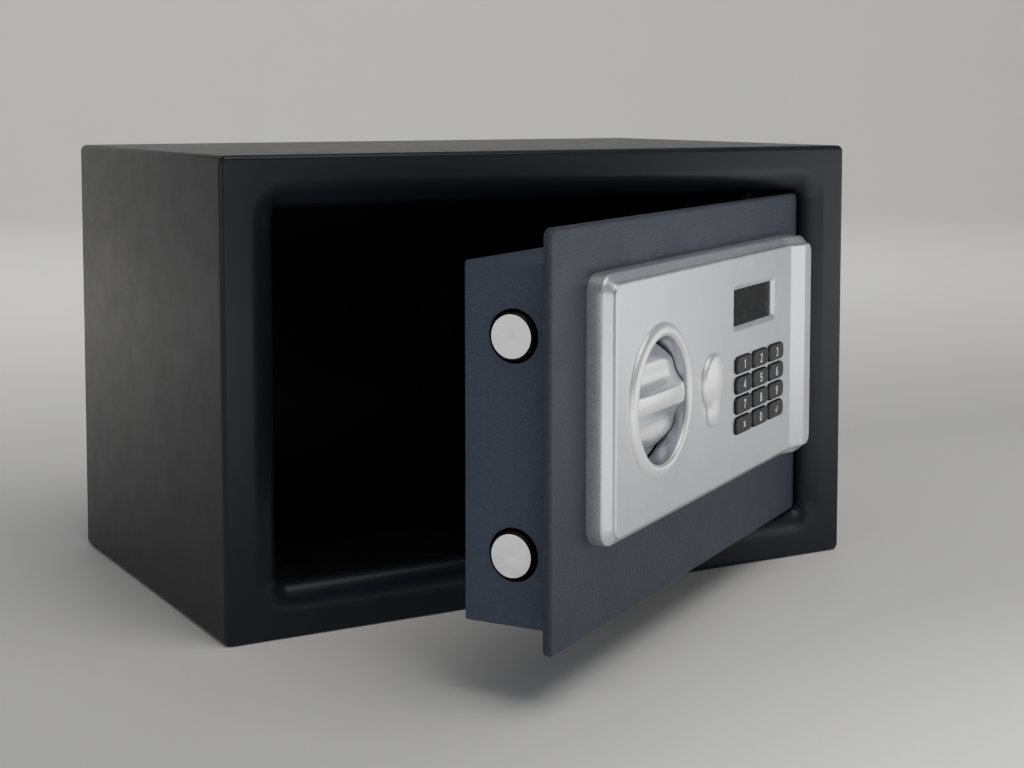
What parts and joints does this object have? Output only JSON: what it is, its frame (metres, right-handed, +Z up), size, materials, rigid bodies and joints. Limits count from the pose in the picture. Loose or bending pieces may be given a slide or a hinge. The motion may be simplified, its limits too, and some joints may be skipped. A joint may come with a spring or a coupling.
{
  "type": "in room safe",
  "caption": "Compact steel safe with a hinged door that carries a keypad, a display, a rotary knob and two locking bolts.",
  "frame": {"origin": "middle of the cabinet's underside, at the height that it stands on", "axes": "+Z up, -Y out of the cabinet's mouth, +X to the right seen from the front"},
  "size_m": [0.32, 0.333, 0.2],
  "materials": {
    "cabinet_paint": "satin powder coat",
    "frame_paint": "satin powder coat",
    "door_paint": "fine-textured powder coat",
    "mat_rubber": "matt",
    "zinc_steel": "zinc plated",
    "bolt_steel": "zinc plated, scuffed",
    "passivated_steel": "yellow passivated",
    "bearing_brass": "turned",
    "panel_silver": "satin silver paint",
    "trim_silver": "satin metallic silver",
    "bush_plastic": "moulded",
    "lock_nickel": "nickel plated",
    "window_plastic": "smoked",
    "display_body": "moulded",
    "board_green": "solder mask",
    "key_plastic": "moulded",
    "black_plastic": "moulded",
    "cell_jacket": "printed sleeve",
    "coil_wrap": "tape",
    "button_red": "moulded"
  },
  "bodies": {
    "cabinet": {"outer_shell": "cabinet_paint", "back_panel": "cabinet_paint", "front_frame": "frame_paint", "floor_mat": "mat_rubber", "frame_hinge_upper": "frame_paint", "frame_hinge_lower": "frame_paint", "hinge_pin_upper": "zinc_steel", "hinge_pin_lower": "zinc_steel", "hinge_washers": "bearing_brass"},
    "door": {"door_plate": "door_paint", "door_pan": "door_paint", "cover_posts": "zinc_steel", "inner_cover": "door_paint", "cover_screws": "zinc_steel", "door_hinge_upper": "door_paint", "door_hinge_lower": "door_paint", "control_panel": "panel_silver", "panel_screws": "zinc_steel", "knob_ring": "trim_silver", "knob_bush": "bush_plastic", "carriage_guides": "zinc_steel", "solenoid_body": "coil_wrap", "plunger_spring": "zinc_steel", "lock_cylinder": "lock_nickel", "lock_nut": "zinc_steel", "cover_pivot": "zinc_steel", "display_window": "window_plastic", "display_module": "display_body", "circuit_board": "board_green", "keypad_mat": "mat_rubber", "battery_box": "black_plastic", "batteries": "cell_jacket", "battery_contacts": "zinc_steel", "reset_switch": "black_plastic"},
    "knob": {"knob": "trim_silver", "knob_shaft": "zinc_steel", "knob_cam": "zinc_steel"},
    "bolts": {"bolt_carriage": "passivated_steel", "bolt_upper": "bolt_steel", "bolt_lower": "bolt_steel"},
    "plunger": {"solenoid_plunger": "zinc_steel"},
    "lock": {"lock_plug": "bearing_brass", "lock_cam": "zinc_steel"},
    "key_cover": {"key_cover": "trim_silver"},
    "battery_cover": {"battery_cover": "black_plastic"},
    "reset_button": {"reset_button": "button_red"},
    "key_1": {"key_1": "key_plastic"},
    "key_2": {"key_2": "key_plastic"},
    "key_3": {"key_3": "key_plastic"},
    "key_4": {"key_4": "key_plastic"},
    "key_5": {"key_5": "key_plastic"},
    "key_6": {"key_6": "key_plastic"},
    "key_7": {"key_7": "key_plastic"},
    "key_8": {"key_8": "key_plastic"},
    "key_9": {"key_9": "key_plastic"},
    "key_clear": {"key_clear": "key_plastic"},
    "key_0": {"key_0": "key_plastic"},
    "key_enter": {"key_enter": "key_plastic"}
  },
  "joints": [
    {"name": "door_hinge", "type": "hinge", "parent": "cabinet", "child": "door", "pos_m": [0.125, -0.09, 0.1], "axis": [0, 0, 1], "range_deg": [-32.5, 60]},
    {"name": "knob_turn", "type": "hinge", "parent": "door", "child": "knob", "pos_m": [-0.02389, -0.19967, 0.106], "axis": [0.5373, -0.8434, 0], "range_deg": [0, 90]},
    {"name": "bolt_slide", "type": "slide", "parent": "door", "child": "bolts", "axis": [-0.8434, -0.5373, 0], "range_m": [0, 0.0127]},
    {"name": "plunger_slide", "type": "slide", "parent": "door", "child": "plunger", "axis": [0, 0, -1], "range_m": [0, 0.004], "deforming": ["plunger_spring"]},
    {"name": "lock_turn", "type": "hinge", "parent": "door", "child": "lock", "pos_m": [0.02208, -0.17039, 0.1055], "axis": [0.5373, -0.8434, 0], "range_deg": [0, 90]},
    {"name": "key_cover_swivel", "type": "hinge", "parent": "door", "child": "key_cover", "pos_m": [0.02584, -0.1763, 0.093], "axis": [0.5373, -0.8434, 0], "range_deg": [-90, 90]},
    {"name": "battery_cover_slide", "type": "slide", "parent": "door", "child": "battery_cover", "axis": [-0.8434, -0.5373, 0], "range_m": [0, 0.05]},
    {"name": "reset_press", "type": "slide", "parent": "door", "child": "reset_button", "axis": [0.5373, -0.8434, 0], "range_m": [0, 0.0015], "stiffness_N_per_m": 300},
    {"name": "key_1_press", "type": "slide", "parent": "door", "child": "key_1", "axis": [-0.5373, 0.8434, 0], "range_m": [0, 0.0008], "stiffness_N_per_m": 400},
    {"name": "key_2_press", "type": "slide", "parent": "door", "child": "key_2", "axis": [-0.5373, 0.8434, 0], "range_m": [0, 0.0008], "stiffness_N_per_m": 400},
    {"name": "key_3_press", "type": "slide", "parent": "door", "child": "key_3", "axis": [-0.5373, 0.8434, 0], "range_m": [0, 0.0008], "stiffness_N_per_m": 400},
    {"name": "key_4_press", "type": "slide", "parent": "door", "child": "key_4", "axis": [-0.5373, 0.8434, 0], "range_m": [0, 0.0008], "stiffness_N_per_m": 400},
    {"name": "key_5_press", "type": "slide", "parent": "door", "child": "key_5", "axis": [-0.5373, 0.8434, 0], "range_m": [0, 0.0008], "stiffness_N_per_m": 400},
    {"name": "key_6_press", "type": "slide", "parent": "door", "child": "key_6", "axis": [-0.5373, 0.8434, 0], "range_m": [0, 0.0008], "stiffness_N_per_m": 400},
    {"name": "key_7_press", "type": "slide", "parent": "door", "child": "key_7", "axis": [-0.5373, 0.8434, 0], "range_m": [0, 0.0008], "stiffness_N_per_m": 400},
    {"name": "key_8_press", "type": "slide", "parent": "door", "child": "key_8", "axis": [-0.5373, 0.8434, 0], "range_m": [0, 0.0008], "stiffness_N_per_m": 400},
    {"name": "key_9_press", "type": "slide", "parent": "door", "child": "key_9", "axis": [-0.5373, 0.8434, 0], "range_m": [0, 0.0008], "stiffness_N_per_m": 400},
    {"name": "key_clear_press", "type": "slide", "parent": "door", "child": "key_clear", "axis": [-0.5373, 0.8434, 0], "range_m": [0, 0.0008], "stiffness_N_per_m": 400},
    {"name": "key_0_press", "type": "slide", "parent": "door", "child": "key_0", "axis": [-0.5373, 0.8434, 0], "range_m": [0, 0.0008], "stiffness_N_per_m": 400},
    {"name": "key_enter_press", "type": "slide", "parent": "door", "child": "key_enter", "axis": [-0.5373, 0.8434, 0], "range_m": [0, 0.0008], "stiffness_N_per_m": 400}
  ],
  "couplings": [
    {"joint": "knob_turn", "follows": "bolt_slide", "rad_per_m": 123.41},
    {"joint": "plunger_slide", "follows": "bolt_slide", "ratio": 0.3143}
  ]
}
